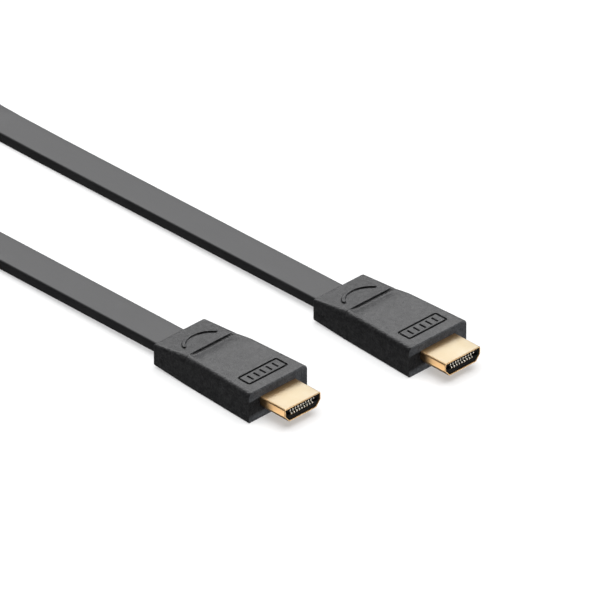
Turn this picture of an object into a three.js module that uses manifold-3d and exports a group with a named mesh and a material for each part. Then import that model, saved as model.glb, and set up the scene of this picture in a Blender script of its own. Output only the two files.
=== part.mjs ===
// Audio and video cable: a straight 19-contact plug at each end of one flat cord, as it lies on a table.
// Millimetres. +X is the way both plugs point, +Y runs across from plug A to plug B, +Z is up.
// The origin is on the table, under the middle of the box around the two plugs.

import * as THREE from 'three';
import { mergeVertices } from 'three/addons/utils/BufferGeometryUtils.js';
import Module from 'manifold-3d';

const wasm = await Module();
wasm.setup();

// Hood, the moulded grip. Stations are measured back from its front face.
const hoodLength = 40;
const hoodWidth = 23;
const hoodHeight = 9.6;
const hoodCrestWidth = 20.4;
const hoodRearWidth = 19.8;
const hoodRearTop = 7.7;
const hoodRearBottom = 0.9;
const hoodEndRound = 0.4;
const hoodTopRound = 0.9;
const hoodBottomRound = 0.8;
const rampSetback = 27;
const rampTop = 9.4;
const rampCrestRound = 1.6;
const rampRearRound = 0.5;
const scoopLength = 7;
const scoopDepth = 0.55;
const scoopWall = 0.9;

// Raised arc on the ramp, a finger mark
const arcChord = 12;
const arcRise = 3.4;
const arcWidth = 1.1;
const arcHeight = 0.4;
const arcBehindCrest = 4.2;

// Engraved panel in the front deck: a frame line around a row of plain bars
const panelWidth = 15.2;
const panelDepth = 5;
const panelSetback = 3.6;
const panelSink = 0.35;
const panelCorner = 0.8;
const panelLine = 0.45;
const panelBars = 5;
const panelBarPitch = 2.4;
const panelBarLength = 2.4;

// Shell, the plated tube that plugs in. Sizes are those of the standard full-size plug.
const shellWidth = 13.9;
const shellHeight = 4.45;
const shellReach = 9.8;
const shellRooted = 5;
const shellWall = 0.35;
const shellCornerRound = 0.5;
const shellChamferAcross = 1.7;
const shellChamferUp = 2;
const shellCentreHeight = 4.8;
const socketClearance = 0.3;

// Insulator and contacts
const insulatorClearance = 0.1;
const insulatorSetback = 0.3;
const tongueSlotWidth = 12;
const tongueSlotHeight = 1.2;
const tongueSlotDepth = 8.2;
const tongueSlotRise = 0.35;
const contactPitch = 1;
const upperContacts = 10;
const lowerContacts = 9;
const contactWidth = 0.45;
const contactThickness = 0.3;
const contactLength = 9.2;
const contactClearance = 0.1;
const contactHump = 0.3;
const contactHumpLength = 1.3;

// Flat cord and where its two ends lie
const cordWidth = 11.4;
const cordThickness = 3.3;
const cordCorner = 0.7;
const cordExitHeight = 2.85;
const cordGap = 0.3;
const plugPitch = 48.4;
const plugStagger = 14.2;

// Coil of the spare length, wound on edge around a vertical axis, and its tie
const coilLayer = 4.1;
const coilInnerRadius = 23.1;
const coilTurnsA = 2.5;
const coilTurnX = -197;
const coilTurnRadius = 45;
const coilLift = 0.9;
const tieWidth = 5;
const tieThickness = 0.7;
const tieGap = 0.35;

const cornerSteps = 4;
const contactTaper = 0.12;

const plastic = new THREE.MeshStandardMaterial({ color: 0x3a3b3d, roughness: 0.6, metalness: 0 });
const gold = new THREE.MeshStandardMaterial({ color: 0xe6c48a, roughness: 0.25, metalness: 1 });
const innerPlastic = new THREE.MeshStandardMaterial({ color: 0x151515, roughness: 0.7, metalness: 0 });
const contactMetal = new THREE.MeshStandardMaterial({ color: 0xe8dcc0, roughness: 0.3, metalness: 1 });
const jacket = new THREE.MeshStandardMaterial({ color: 0x4a4a4c, roughness: 0.55, metalness: 0 });
const tieMaterial = new THREE.MeshStandardMaterial({ color: 0x202022, roughness: 0.6, metalness: 0 });

// Turns a closed three.js geometry into a solid that can be cut and joined.
function toSolid(geometry) {
  const bare = geometry.clone();
  bare.deleteAttribute('normal');
  bare.deleteAttribute('uv');
  const merged = mergeVertices(bare, 1e-4);
  return new wasm.Manifold(new wasm.Mesh({
    numProp: 3,
    vertProperties: new Float32Array(merged.attributes.position.array),
    triVerts: new Uint32Array(merged.index.array),
  }));
}

function toGeometry(solid) {
  const mesh = solid.getMesh();
  const geometry = new THREE.BufferGeometry();
  geometry.setAttribute('position', new THREE.BufferAttribute(new Float32Array(mesh.vertProperties), 3));
  geometry.setIndex(new THREE.BufferAttribute(new Uint32Array(mesh.triVerts), 1));
  geometry.computeVertexNormals();
  return geometry;
}

function blockBetween(low, high) {
  const size = new THREE.Vector3().subVectors(high, low);
  const middle = new THREE.Vector3().addVectors(low, high).multiplyScalar(0.5);
  const geometry = new THREE.BoxGeometry(size.x, size.y, size.z);
  geometry.translate(middle.x, middle.y, middle.z);
  return geometry;
}

// Extrudes a shape drawn in the Y-Z plane along +X, from one station to another.
function extrudeAlongX(shape, from, to) {
  const geometry = new THREE.ExtrudeGeometry(shape, { depth: to - from, bevelEnabled: false, curveSegments: 6 });
  const drawnAcross = new THREE.Matrix4().makeBasis(
    new THREE.Vector3(0, 1, 0),
    new THREE.Vector3(0, 0, 1),
    new THREE.Vector3(1, 0, 0),
  );
  geometry.applyMatrix4(drawnAcross);
  geometry.translate(from, 0, 0);
  return geometry;
}

// One ring of the hood: a rectangle across the plug with rounded top and bottom edges.
function hoodRing({ x, halfWidth, bottom, top, topRound, bottomRound }) {
  const ring = [];
  const corners = [
    { y: halfWidth - topRound, z: top - topRound, round: topRound, start: 0 },
    { y: topRound - halfWidth, z: top - topRound, round: topRound, start: 1 },
    { y: bottomRound - halfWidth, z: bottom + bottomRound, round: bottomRound, start: 2 },
    { y: halfWidth - bottomRound, z: bottom + bottomRound, round: bottomRound, start: 3 },
  ];
  for (const { y, z, round, start } of corners) {
    for (let i = 0; i <= cornerSteps; i += 1) {
      const angle = (start + i / cornerSteps) * Math.PI / 2;
      ring.push(new THREE.Vector3(x, y + round * Math.cos(angle), z + round * Math.sin(angle)));
    }
  }
  return ring;
}

// Skins rings that run from back to front, and closes both ends.
function loft(rings) {
  const size = rings[0].length;
  const positions = [];
  for (const ring of rings) {
    for (const point of ring) positions.push(point.x, point.y, point.z);
  }
  const indices = [];
  for (let r = 0; r + 1 < rings.length; r += 1) {
    for (let i = 0; i < size; i += 1) {
      const a = r * size + i;
      const b = r * size + (i + 1) % size;
      indices.push(a, b, b + size, a, b + size, a + size);
    }
  }
  const last = (rings.length - 1) * size;
  for (let i = 1; i + 1 < size; i += 1) {
    indices.push(0, i + 1, i);
    indices.push(last, last + i, last + i + 1);
  }
  const geometry = new THREE.BufferGeometry();
  geometry.setAttribute('position', new THREE.BufferAttribute(new Float32Array(positions), 3));
  geometry.setIndex(indices);
  return geometry;
}

// Height of the ramp a given distance behind its crest.
function rampHeight(behindCrest) {
  const share = behindCrest / (hoodLength - rampSetback);
  return THREE.MathUtils.lerp(rampTop, hoodRearTop, share);
}

function hoodStations() {
  const half = hoodWidth / 2;
  const crestHalf = hoodCrestWidth / 2;
  const rearHalf = hoodRearWidth / 2;
  const ramp = (behindCrest) => {
    const share = behindCrest / (hoodLength - rampSetback);
    return {
      x: -rampSetback - behindCrest,
      halfWidth: THREE.MathUtils.lerp(crestHalf, rearHalf, share),
      bottom: THREE.MathUtils.lerp(0, hoodRearBottom, share),
      top: rampHeight(behindCrest),
      topRound: THREE.MathUtils.lerp(rampCrestRound, rampRearRound, share),
      bottomRound: THREE.MathUtils.lerp(hoodBottomRound, rampRearRound, share),
    };
  };
  const deck = (x, drop) => ({
    x,
    halfWidth: THREE.MathUtils.lerp(half, crestHalf, -x / rampSetback),
    bottom: 0,
    top: hoodHeight - drop,
    topRound: hoodTopRound,
    bottomRound: hoodBottomRound,
  });
  const rampLength = hoodLength - rampSetback;
  const rear = ramp(rampLength);
  const rearFace = {
    ...rear,
    halfWidth: rear.halfWidth - hoodEndRound,
    bottom: rear.bottom + hoodEndRound,
    top: rear.top - hoodEndRound,
  };
  const stations = [rearFace, { ...rear, x: rear.x + hoodEndRound }];
  for (const share of [0.66, 0.33, 0]) stations.push(ramp(rampLength * share));
  const wallSteps = 4;
  for (let i = 1; i <= wallSteps; i += 1) {
    const angle = i / wallSteps * Math.PI / 2;
    const drop = hoodHeight - rampTop + (rampTop - hoodHeight + scoopDepth) * Math.sin(angle);
    stations.push(deck(-rampSetback + scoopWall * (1 - Math.cos(angle)), drop));
  }
  const scoopSteps = 4;
  for (let i = 1; i <= scoopSteps; i += 1) {
    const share = i / scoopSteps;
    const x = -rampSetback + scoopWall + (scoopLength - scoopWall) * share;
    stations.push(deck(x, scoopDepth * (1 - share) ** 2));
  }
  const front = deck(-hoodEndRound, 0);
  stations.push(front);
  stations.push({
    ...front,
    x: 0,
    halfWidth: front.halfWidth - hoodEndRound,
    bottom: front.bottom + hoodEndRound,
    top: front.top - hoodEndRound,
  });
  return stations;
}

// Outline of the shell across the plug, wide side up, drawn smaller by inset.
function shellOutline(inset) {
  const half = shellWidth / 2 - inset;
  const top = shellHeight / 2 - inset;
  const round = Math.max(shellCornerRound - inset / 2, shellCornerRound / 2);
  const slope = Math.atan2(shellChamferUp, shellChamferAcross);
  const slip = inset * Math.tan(slope / 2);
  const rise = inset * Math.tan((Math.PI / 2 - slope) / 2);
  const footHalf = shellWidth / 2 - shellChamferAcross - slip;
  const kneeHeight = -shellHeight / 2 + shellChamferUp + rise;
  const shape = new THREE.Shape();
  shape.moveTo(footHalf, -top);
  shape.lineTo(half, kneeHeight);
  shape.lineTo(half, top - round);
  shape.absarc(half - round, top - round, round, 0, Math.PI / 2, false);
  shape.lineTo(round - half, top);
  shape.absarc(round - half, top - round, round, Math.PI / 2, Math.PI, false);
  shape.lineTo(-half, kneeHeight);
  shape.lineTo(-footHalf, -top);
  shape.closePath();
  return shape;
}

// A rectangle with rounded corners, drawn as seen from above, with equal margins inside the panel.
function panelOutline(margin) {
  const front = -panelSetback - margin;
  const back = -panelSetback - panelDepth + margin;
  const side = panelWidth / 2 - margin;
  const round = panelCorner - margin;
  const shape = new THREE.Shape();
  shape.moveTo(back + round, -side);
  shape.absarc(front - round, round - side, round, -Math.PI / 2, 0, false);
  shape.absarc(front - round, side - round, round, 0, Math.PI / 2, false);
  shape.absarc(back + round, side - round, round, Math.PI / 2, Math.PI, false);
  shape.absarc(back + round, round - side, round, Math.PI, 3 * Math.PI / 2, false);
  return shape;
}

function panelCutter() {
  const frameLine = panelOutline(0);
  frameLine.holes.push(new THREE.Path(panelOutline(panelLine).getPoints(4).reverse()));
  const geometry = new THREE.ExtrudeGeometry(frameLine, { depth: 1, bevelEnabled: false, curveSegments: 4 });
  geometry.translate(0, 0, hoodHeight - panelSink);
  let cutter = toSolid(geometry);
  const middle = -panelSetback - panelDepth / 2;
  for (let i = 0; i < panelBars; i += 1) {
    const y = (i - (panelBars - 1) / 2) * panelBarPitch;
    cutter = cutter.add(toSolid(blockBetween(
      new THREE.Vector3(middle - panelBarLength / 2, y - panelLine / 2, hoodHeight - panelSink),
      new THREE.Vector3(middle + panelBarLength / 2, y + panelLine / 2, hoodHeight + 1),
    )));
  }
  return cutter;
}

// A band bent to an arc that bulges to the rear, tipped to lie on the ramp and rooted in it.
function makeArc() {
  const radius = (arcChord ** 2 / 4 + arcRise ** 2) / (2 * arcRise);
  const halfAngle = Math.asin(arcChord / 2 / radius);
  const outer = radius + arcWidth / 2;
  const inner = radius - arcWidth / 2;
  const from = Math.PI - halfAngle;
  const to = Math.PI + halfAngle;
  const shape = new THREE.Shape();
  shape.absarc(0, 0, outer, from, to, false);
  shape.absarc(radius * Math.cos(to), radius * Math.sin(to), arcWidth / 2, to, to + Math.PI, false);
  shape.absarc(0, 0, inner, to, from, true);
  shape.absarc(radius * Math.cos(from), radius * Math.sin(from), arcWidth / 2, from - Math.PI, from, false);
  const geometry = new THREE.ExtrudeGeometry(shape, { depth: 2 * arcHeight, bevelEnabled: false, curveSegments: 10 });
  geometry.translate(radius * Math.cos(halfAngle), 0, -arcHeight);
  geometry.rotateY(-Math.atan2(rampTop - hoodRearTop, hoodLength - rampSetback));
  geometry.translate(-rampSetback - arcBehindCrest, 0, rampHeight(arcBehindCrest));
  return geometry;
}

function makeHood() {
  const body = toSolid(loft(hoodStations().map(hoodRing)));
  const socket = extrudeAlongX(shellOutline(-socketClearance), -shellRooted - socketClearance, 1);
  socket.translate(0, 0, shellCentreHeight);
  return toGeometry(body.add(toSolid(makeArc())).subtract(toSolid(socket)).subtract(panelCutter()));
}

function makeShell() {
  const outline = shellOutline(0);
  outline.holes.push(new THREE.Path(shellOutline(shellWall).getPoints(6).reverse()));
  const geometry = extrudeAlongX(outline, -shellRooted, shellReach);
  geometry.translate(0, 0, shellCentreHeight);
  return geometry;
}

// Places of the contacts: row is +1 above the tongue slot and -1 below it.
function contactPlaces() {
  const places = [];
  for (const [row, count] of [[1, upperContacts], [-1, lowerContacts]]) {
    for (let i = 0; i < count; i += 1) places.push({ row, y: (i - (count - 1) / 2) * contactPitch });
  }
  return places;
}

const contactFront = shellReach - insulatorSetback;
const contactRear = contactFront - contactLength;
const channelDepth = contactThickness + contactClearance;

function makeInsulator() {
  const front = contactFront;
  const outline = shellOutline(shellWall + insulatorClearance);
  let body = toSolid(extrudeAlongX(outline, -shellRooted, front));
  const halfSlot = tongueSlotHeight / 2;
  body = body.subtract(toSolid(blockBetween(
    new THREE.Vector3(front - tongueSlotDepth, -tongueSlotWidth / 2, tongueSlotRise - halfSlot),
    new THREE.Vector3(front + 1, tongueSlotWidth / 2, tongueSlotRise + halfSlot),
  )));
  const halfChannel = contactWidth / 2 + contactClearance;
  for (const { row, y } of contactPlaces()) {
    const wall = row * (halfSlot + channelDepth);
    body = body.subtract(toSolid(blockBetween(
      new THREE.Vector3(contactRear - contactClearance, y - halfChannel, tongueSlotRise + Math.min(wall, 0)),
      new THREE.Vector3(front + 1, y + halfChannel, tongueSlotRise + Math.max(wall, 0)),
    )));
  }
  const geometry = toGeometry(body);
  geometry.translate(0, 0, shellCentreHeight);
  return geometry;
}

// A contact is a flat strip with a tapered nose, seen from the side and given its width.
// Just behind the nose it springs into the slot in a low hump.
function makeContact({ row, y }) {
  const back = tongueSlotHeight / 2 + contactThickness;
  const face = tongueSlotHeight / 2;
  const nose = contactFront - contactThickness;
  const slotSide = [];
  const wallSide = [];
  const humpSteps = 6;
  for (let i = 0; i <= humpSteps; i += 1) {
    const share = i / humpSteps;
    const x = nose - contactHumpLength * (1 - share);
    const sag = contactHump * Math.sin(Math.PI * share) ** 2;
    slotSide.push([x, face - sag]);
    wallSide.unshift([x, back - sag]);
  }
  const side = [
    [contactRear, face],
    ...slotSide,
    [contactFront, face + contactTaper],
    [contactFront, back],
    ...wallSide,
    [contactRear, back],
  ];
  const shape = new THREE.Shape(side.map(([x, z]) => new THREE.Vector2(x, z)));
  const geometry = new THREE.ExtrudeGeometry(shape, { depth: contactWidth, bevelEnabled: false });
  geometry.translate(0, 0, -contactWidth / 2);
  geometry.rotateX(row * Math.PI / 2);
  geometry.translate(0, y, shellCentreHeight + tongueSlotRise);
  return geometry;
}

function makePlug(name) {
  const plug = new THREE.Group();
  const add = (part, geometry, material) => {
    const mesh = new THREE.Mesh(geometry, material);
    mesh.name = `${name}_${part}`;
    plug.add(mesh);
  };
  add('hood', makeHood(), plastic);
  add('shell', makeShell(), gold);
  add('insulator', makeInsulator(), innerPlastic);
  contactPlaces().forEach((place, i) => {
    add(`contact_${String(i + 1).padStart(2, '0')}`, makeContact(place), contactMetal);
  });
  return plug;
}

// Both plugs point along +X. B stands forward of A by the stagger.
const boxLength = hoodLength + plugStagger + shellReach;
const frontOfA = hoodLength - boxLength / 2;
const plugPlaces = {
  plug_a: new THREE.Vector3(frontOfA, -plugPitch / 2, 0),
  plug_b: new THREE.Vector3(frontOfA + plugStagger, plugPitch / 2, 0),
};

// The coil is a pair of arms wound together that meet in an S at the middle.
// turns counts outward from the S. Arm A ends under the coil's middle, heading to plug A.
const coilPitch = 2 * coilLayer;
const coilRadius = (turns) => coilInnerRadius + coilPitch * turns;
const lastRadiusA = coilRadius(coilTurnsA);
const coilCentreY = -plugPitch / 2 + lastRadiusA;
const exitRise = plugPitch / 2 - coilCentreY;
let turnsB = coilTurnsA - 0.5;
for (let i = 0; i < 20; i += 1) {
  const reach = coilRadius(turnsB);
  const swing = Math.acos(1 - (exitRise + reach) / (reach + coilTurnRadius));
  turnsB = coilTurnsA - 0.5 + swing / (2 * Math.PI);
}
const coilTurnsB = turnsB;
const exitSwing = (coilTurnsB - coilTurnsA + 0.5) * 2 * Math.PI;
const lastRadiusB = coilRadius(coilTurnsB);
const coilCentreX = coilTurnX - (lastRadiusB + coilTurnRadius) * Math.sin(exitSwing);
const angleA = (turns) => -Math.PI / 2 + (turns - coilTurnsA) * 2 * Math.PI;
const angleB = (turns) => angleA(turns) + Math.PI;
const coilCentre = new THREE.Vector2(coilCentreX, coilCentreY);
const coilBottom = coilLift;
const coilMiddleHeight = coilBottom + cordWidth / 2;

function aroundCoil(radius, angle) {
  return new THREE.Vector2(coilCentre.x + radius * Math.cos(angle), coilCentre.y + radius * Math.sin(angle));
}

// Points along one side of an arm, offset outward from its centreline.
function armSide(angleOf, fromTurns, toTurns, offset) {
  const steps = Math.max(2, Math.ceil(Math.abs(toTurns - fromTurns) * 48));
  const points = [];
  for (let i = 0; i <= steps; i += 1) {
    const turns = THREE.MathUtils.lerp(fromTurns, toTurns, i / steps);
    points.push(aroundCoil(coilRadius(turns) + offset, angleOf(turns)));
  }
  return points;
}

function extrudeUp(points) {
  const shape = new THREE.Shape(points);
  const geometry = new THREE.ExtrudeGeometry(shape, { depth: cordWidth, bevelEnabled: false });
  geometry.translate(0, 0, coilBottom);
  return geometry;
}

function makeCoil() {
  const half = cordThickness / 2;
  const outer = [
    ...armSide(angleA, coilTurnsB - 0.5, coilTurnsA, half),
    ...armSide(angleB, coilTurnsA - 0.5, coilTurnsB, half),
  ];
  const inner = [
    ...armSide(angleA, 0, 0.5, -half),
    ...armSide(angleB, 0, 0.5, -half),
  ];
  let coil = toSolid(extrudeUp(outer)).subtract(toSolid(extrudeUp(inner)));
  const sRadius = coilInnerRadius / 2;
  for (const angle of [angleA(0), angleB(0)]) {
    const hub = aroundCoil(sRadius, angle);
    const shape = new THREE.Shape();
    shape.absarc(hub.x, hub.y, sRadius + half, angle - Math.PI, angle, false);
    shape.absarc(hub.x, hub.y, sRadius - half, angle, angle - Math.PI, true);
    coil = coil.add(toSolid(extrudeUp(shape.getPoints(16))));
  }
  return toGeometry(coil);
}

// The tie is a closed band around all the layers at the far side of the coil.
function makeTie() {
  const angle = Math.PI;
  const turnsInner = ((angle - angleA(0)) / (2 * Math.PI)) % 1;
  const firstLayer = coilRadius(turnsInner % 0.5);
  const lastLayer = coilRadius(turnsInner + Math.floor(coilTurnsA - turnsInner));
  const low = firstLayer - cordThickness / 2 - tieGap;
  const high = lastLayer + cordThickness / 2 + tieGap;
  const bottom = tieThickness;
  const top = coilBottom + cordWidth + tieGap;
  const ring = (grow) => [
    new THREE.Vector2(low - grow, bottom - grow),
    new THREE.Vector2(high + grow, bottom - grow),
    new THREE.Vector2(high + grow, top + grow),
    new THREE.Vector2(low - grow, top + grow),
  ];
  const shape = new THREE.Shape(ring(tieThickness));
  shape.holes.push(new THREE.Path(ring(0).reverse()));
  const geometry = new THREE.ExtrudeGeometry(shape, { depth: tieWidth, bevelEnabled: false });
  geometry.translate(0, 0, -tieWidth / 2);
  geometry.rotateX(Math.PI / 2);
  geometry.rotateZ(angle);
  geometry.translate(coilCentre.x, coilCentre.y, 0);
  return geometry;
}

// Section of the flat cord, width across and thickness up, with cut corners.
function cordSection() {
  const w = cordWidth / 2;
  const t = cordThickness / 2;
  const c = cordCorner;
  const m = c * (1 - Math.SQRT1_2);
  return new THREE.Shape([
    [w, c - t], [w, t - c], [w - m, t - m], [w - c, t],
    [c - w, t], [m - w, t - m], [-w, t - c], [-w, c - t],
    [m - w, m - t], [c - w, -t], [w - c, -t], [w - m, m - t],
  ].map(([x, y]) => new THREE.Vector2(x, y)));
}

// How high the cord's centreline stands where the cord touches the table at this twist.
function restHeight(angle) {
  return cordWidth / 2 * Math.abs(Math.sin(angle)) + cordThickness / 2 * Math.abs(Math.cos(angle));
}

// Bends a straight flat cord along a route. A route point is x, y, height and twist in degrees,
// where 0 lies flat and 90 stands on edge.
function layCord(route, steps) {
  const path = new THREE.CatmullRomCurve3(route.map(([x, y, z]) => new THREE.Vector3(x, y, z)), false, 'centripetal');
  const twist = new THREE.CatmullRomCurve3(route.map((p) => new THREE.Vector3(p[3], 0, 0)), false, 'catmullrom', 0);
  const geometry = new THREE.ExtrudeGeometry(cordSection(), { depth: 1, steps, bevelEnabled: false });
  const position = geometry.attributes.position;
  const up = new THREE.Vector3(0, 0, 1);
  for (let i = 0; i < position.count; i += 1) {
    const share = THREE.MathUtils.clamp(position.getZ(i), 0, 1);
    const t = path.getUtoTmapping(share);
    const tangent = path.getTangent(t);
    const side = new THREE.Vector3().crossVectors(up, tangent).normalize();
    const face = new THREE.Vector3().crossVectors(tangent, side);
    const angle = THREE.MathUtils.degToRad(twist.getPoint(t).x);
    const place = path.getPoint(t);
    place.z = Math.max(place.z, restHeight(angle));
    const across = side.clone().multiplyScalar(Math.cos(angle)).addScaledVector(face, Math.sin(angle));
    const over = face.clone().multiplyScalar(Math.cos(angle)).addScaledVector(side, -Math.sin(angle));
    place.addScaledVector(across, position.getX(i)).addScaledVector(over, position.getY(i));
    position.setXYZ(i, place.x, place.y, place.z);
  }
  geometry.computeVertexNormals();
  return geometry;
}

const floorHeight = cordThickness / 2;
const rearOfA = plugPlaces.plug_a.x - hoodLength - cordGap;
const rearOfB = plugPlaces.plug_b.x - hoodLength - cordGap;

// Cord from plug A: straight out, down to the table, over on its edge and into the coil.
const laneA = plugPlaces.plug_a.y;
const routeA = [
  [rearOfA, laneA, cordExitHeight, 0],
  [-44, laneA, 2.75, 0],
  [-58, laneA, 2.6, 0],
  [-74, laneA, 2.43, 0],
  [-90, laneA, 2.25, 0],
  [-106, laneA, 2.05, 0],
  [-122, laneA, 1.86, 0],
  [-140, laneA, 1.7, 0],
  [-156, laneA, floorHeight, 0],
  [-166, laneA, 2.9, 10],
  [-176, laneA, 4.8, 34],
  [-186, laneA, 6.05, 66],
  [-196, laneA, 6.1, 86],
  [-208, laneA, 6.1, 90],
  [-226, laneA, 6.35, 90],
  [-250, laneA, coilMiddleHeight, 90],
  [coilCentre.x + cordGap, laneA, coilMiddleHeight, 90],
];

// Cord from plug B: the same way down and over, then around a bend into the coil.
const laneB = plugPlaces.plug_b.y;
const bendCentre = new THREE.Vector2(coilTurnX, laneB - coilTurnRadius);
const routeB = [
  [rearOfB, laneB, cordExitHeight, 0],
  [-30, laneB, 2.75, 0],
  [-44, laneB, 2.6, 0],
  [-60, laneB, 2.43, 0],
  [-76, laneB, 2.27, 0],
  [-92, laneB, 2.1, 0],
  [-108, laneB, 1.92, 0],
  [-130, laneB, 1.72, 0],
  [-154, laneB, floorHeight, 0],
  [-164, laneB, 2.9, 10],
  [-174, laneB, 4.8, 34],
  [-184, laneB, 6.05, 66],
  [-194, laneB, 6.1, 86],
];
const bendSteps = 6;
const bendAngle = exitSwing - cordGap / coilTurnRadius;
for (let i = 1; i <= bendSteps; i += 1) {
  const angle = Math.PI / 2 + bendAngle * i / bendSteps;
  const x = bendCentre.x + coilTurnRadius * Math.cos(angle);
  const y = bendCentre.y + coilTurnRadius * Math.sin(angle);
  routeB.push([x, y, THREE.MathUtils.lerp(6.1, coilMiddleHeight, i / bendSteps), 90]);
}

const cable = new THREE.Group();
for (const [name, place] of Object.entries(plugPlaces)) {
  const plug = makePlug(name);
  plug.position.copy(place);
  cable.add(plug);
}
const cordPieces = [
  ['cable_run_a', layCord(routeA, 48), jacket],
  ['cable_run_b', layCord(routeB, 52), jacket],
  ['cable_coil', makeCoil(), jacket],
  ['cable_tie', makeTie(), tieMaterial],
];
for (const [name, geometry, material] of cordPieces) {
  const mesh = new THREE.Mesh(geometry, material);
  mesh.name = name;
  cable.add(mesh);
}

export default cable;
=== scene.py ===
import math
import bpy
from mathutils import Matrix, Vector


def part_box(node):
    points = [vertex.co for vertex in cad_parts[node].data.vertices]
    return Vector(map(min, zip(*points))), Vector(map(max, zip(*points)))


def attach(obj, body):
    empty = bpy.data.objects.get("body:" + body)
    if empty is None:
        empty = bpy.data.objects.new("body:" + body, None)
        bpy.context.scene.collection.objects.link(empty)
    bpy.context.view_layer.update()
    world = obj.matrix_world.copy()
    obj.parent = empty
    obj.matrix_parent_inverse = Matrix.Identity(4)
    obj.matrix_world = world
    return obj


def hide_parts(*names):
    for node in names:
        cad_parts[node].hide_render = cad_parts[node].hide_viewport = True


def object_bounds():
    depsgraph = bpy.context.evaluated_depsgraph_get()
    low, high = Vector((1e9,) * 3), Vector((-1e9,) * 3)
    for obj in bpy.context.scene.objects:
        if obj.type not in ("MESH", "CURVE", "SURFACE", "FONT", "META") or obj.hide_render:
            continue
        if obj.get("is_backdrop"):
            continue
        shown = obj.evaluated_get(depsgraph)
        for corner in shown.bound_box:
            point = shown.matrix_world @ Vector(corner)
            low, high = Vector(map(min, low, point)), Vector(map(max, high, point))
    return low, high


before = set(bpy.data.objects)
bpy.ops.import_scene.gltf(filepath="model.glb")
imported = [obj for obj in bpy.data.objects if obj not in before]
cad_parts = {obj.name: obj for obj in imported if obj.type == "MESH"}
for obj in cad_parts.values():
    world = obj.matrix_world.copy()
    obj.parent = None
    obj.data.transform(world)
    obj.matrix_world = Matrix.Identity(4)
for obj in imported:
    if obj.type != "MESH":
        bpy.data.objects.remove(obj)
cad_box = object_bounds()
mm = 0.001


# The camera looks down over the left sides of the plugs, from their front,
# through a long lens three metres away, as pictures for a catalogue are taken.
view_azimuth = math.radians(45.6)
view_elevation = math.radians(31.8)
view_distance = 3.0
view_width = 167.4 * mm
view_target = Vector((-10.8, 2.7, 15.5)) * mm
towards_camera = Vector((
    math.sin(view_azimuth) * math.cos(view_elevation),
    -math.cos(view_azimuth) * math.cos(view_elevation),
    math.sin(view_elevation),
))
lens = bpy.data.cameras.new("camera")
lens.lens = lens.sensor_width * view_distance / view_width
camera = bpy.data.objects.new("camera", lens)
camera.location = view_target + towards_camera * view_distance
camera.rotation_euler = (-towards_camera).to_track_quat("-Z", "Y").to_euler()
bpy.context.scene.collection.objects.link(camera)
bpy.context.scene.camera = camera


# The flat cord is one length of black PVC jacket, extruded over its wires as a flat band
# with rounded edges. It leaves plug A, lies down, turns on edge into the coil of spare length,
# and comes back out of the coil to plug B.
cord_width = 11.4 * mm
cord_thickness = 3.3 * mm
cord_edge_round = 0.8 * mm
cord_exit_height = 2.85 * mm
cord_rooted = 0.6 * mm
steps_between_points = 9
lane_a = -24.2
lane_b = 24.2
flat_height = 1.65
turning_height = 6.1
edge_height = 6.6
first_point_gap = 0.3

# Points of the cord out of plug A: x, y and height in millimetres, and twist in degrees.
run_from_a = [
    (-32.3, lane_a, 2.85, 0),
    (-44, lane_a, 2.75, 0),
    (-58, lane_a, 2.6, 0),
    (-74, lane_a, 2.43, 0),
    (-90, lane_a, 2.25, 0),
    (-106, lane_a, 2.05, 0),
    (-122, lane_a, 1.86, 0),
    (-140, lane_a, 1.7, 0),
    (-156, lane_a, flat_height, 0),
    (-166, lane_a, 2.9, 10),
    (-176, lane_a, 4.8, 34),
    (-186, lane_a, 6.05, 66),
    (-196, lane_a, turning_height, 86),
    (-208, lane_a, turning_height, 90),
    (-226, lane_a, 6.35, 90),
    (-250, lane_a, edge_height, 90),
]

# Points of the cord out of plug B, up to where it bends towards the coil.
run_from_b = [
    (-18.1, lane_b, 2.85, 0),
    (-30, lane_b, 2.75, 0),
    (-44, lane_b, 2.6, 0),
    (-60, lane_b, 2.43, 0),
    (-76, lane_b, 2.27, 0),
    (-92, lane_b, 2.1, 0),
    (-108, lane_b, 1.92, 0),
    (-130, lane_b, 1.72, 0),
    (-154, lane_b, flat_height, 0),
    (-164, lane_b, 2.9, 10),
    (-174, lane_b, 4.8, 34),
    (-184, lane_b, 6.05, 66),
    (-194, lane_b, turning_height, 86),
]

# The coil is two arms wound together, a layer apart, that meet in an S at the middle.
coil_layer = 4.1
coil_inner_radius = 23.1
coil_turns_a = 2.5
coil_turn_x = -197
coil_turn_radius = 45
points_per_turn = 24


def coil_radius(turns):
    return coil_inner_radius + 2 * coil_layer * turns


coil_y = lane_a + coil_radius(coil_turns_a)
coil_turns_b = coil_turns_a - 0.5

# Arm B leaves the coil where its bend can begin. Each round brings the two closer, until they meet.
rounds_to_meet = 20
for each_round in range(rounds_to_meet):
    reach = coil_radius(coil_turns_b)
    swing = math.acos(1 - (lane_b - coil_y + reach) / (reach + coil_turn_radius))
    coil_turns_b = coil_turns_a - 0.5 + swing / (2 * math.pi)
coil_x = coil_turn_x - (coil_radius(coil_turns_b) + coil_turn_radius) * math.sin(swing)


def around(x, y, radius, angle, height=edge_height):
    return (x + radius * math.cos(angle), y + radius * math.sin(angle), height, 90)


def arm_points(turns_at, start_angle, from_turns, to_turns):
    """Points along an arm of the coil. start_angle is its angle at turns_at."""
    count = math.ceil(abs(to_turns - from_turns) * points_per_turn)
    points = []
    for i in range(count + 1):
        turns = from_turns + (to_turns - from_turns) * i / count
        angle = start_angle + (turns - turns_at) * 2 * math.pi
        points.append(around(coil_x, coil_y, coil_radius(turns), angle))
    return points


def half_circle(x, y, radius, from_angle, to_angle):
    count = points_per_turn // 3
    step = (to_angle - from_angle) / count
    return [around(x, y, radius, from_angle + step * i) for i in range(1, count)]


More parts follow.
